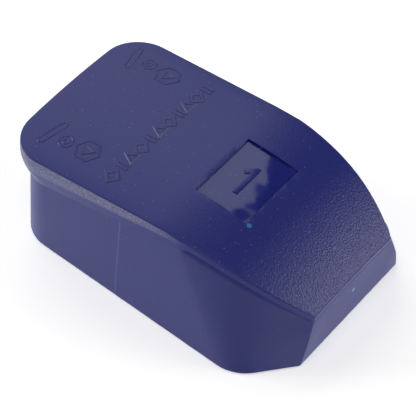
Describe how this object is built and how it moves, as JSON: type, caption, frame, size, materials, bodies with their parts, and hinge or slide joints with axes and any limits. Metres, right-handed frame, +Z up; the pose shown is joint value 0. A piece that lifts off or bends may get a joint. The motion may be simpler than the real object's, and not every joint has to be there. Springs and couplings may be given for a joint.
{
  "type": "cue chalk case",
  "caption": "Hand-held plastic case with a lift-off grained cover, holding cubes of cue chalk face down in rubber sleeves, with a park magnet in its sloping nose.",
  "frame": {"origin": "on the table under the middle of the overall length, on the centre line", "axes": "+X towards the sloping nose, +Z up through the cover, and the case is the same on both sides of the XZ plane"},
  "size_m": [0.082, 0.0606, 0.0279],
  "materials": {
    "grained_plastic": "dark blue moulded plastic with a fine pebble grain",
    "smooth_plastic": "the same dark blue plastic, smooth satin",
    "plate_plastic": "dark blue moulded plastic, smooth matt",
    "screw_steel": "zinc-plated countersunk screws",
    "foot_rubber": "matt black rubber",
    "pot_steel": "drawn steel cup",
    "magnet_plating": "nickel-plated disc",
    "sleeve_rubber": "moulded black rubber",
    "chalk": "pressed blue chalk, dry and powdery",
    "label_paper": "plain printed paper band",
    "pad_foam": "closed-cell foam"
  },
  "bodies": {
    "case": {"case_body": "smooth_plastic", "base_plate": "plate_plastic", "base_screws": "screw_steel", "rubber_feet": "foot_rubber", "magnet_pot": "pot_steel", "magnet": "magnet_plating", "rear_chalk_sleeve": "sleeve_rubber", "front_chalk_sleeve": "sleeve_rubber"},
    "lid": {"cover": "grained_plastic", "rear_backing_pad": "pad_foam", "front_backing_pad": "pad_foam"},
    "rear_cube": {"rear_chalk": "chalk", "rear_chalk_label": "label_paper"},
    "front_cube": {"front_chalk": "chalk", "front_chalk_label": "label_paper"}
  },
  "joints": [
    {"name": "cover_lift", "type": "slide", "parent": "case", "child": "lid", "axis": [0, 0, 1], "range_m": [0, 0.03]},
    {"name": "rear_chalk_pull", "type": "slide", "parent": "case", "child": "rear_cube", "axis": [0, 0, -1], "range_m": [0, 0.024]},
    {"name": "front_chalk_pull", "type": "slide", "parent": "case", "child": "front_cube", "axis": [0, 0, -1], "range_m": [0, 0.024]}
  ]
}
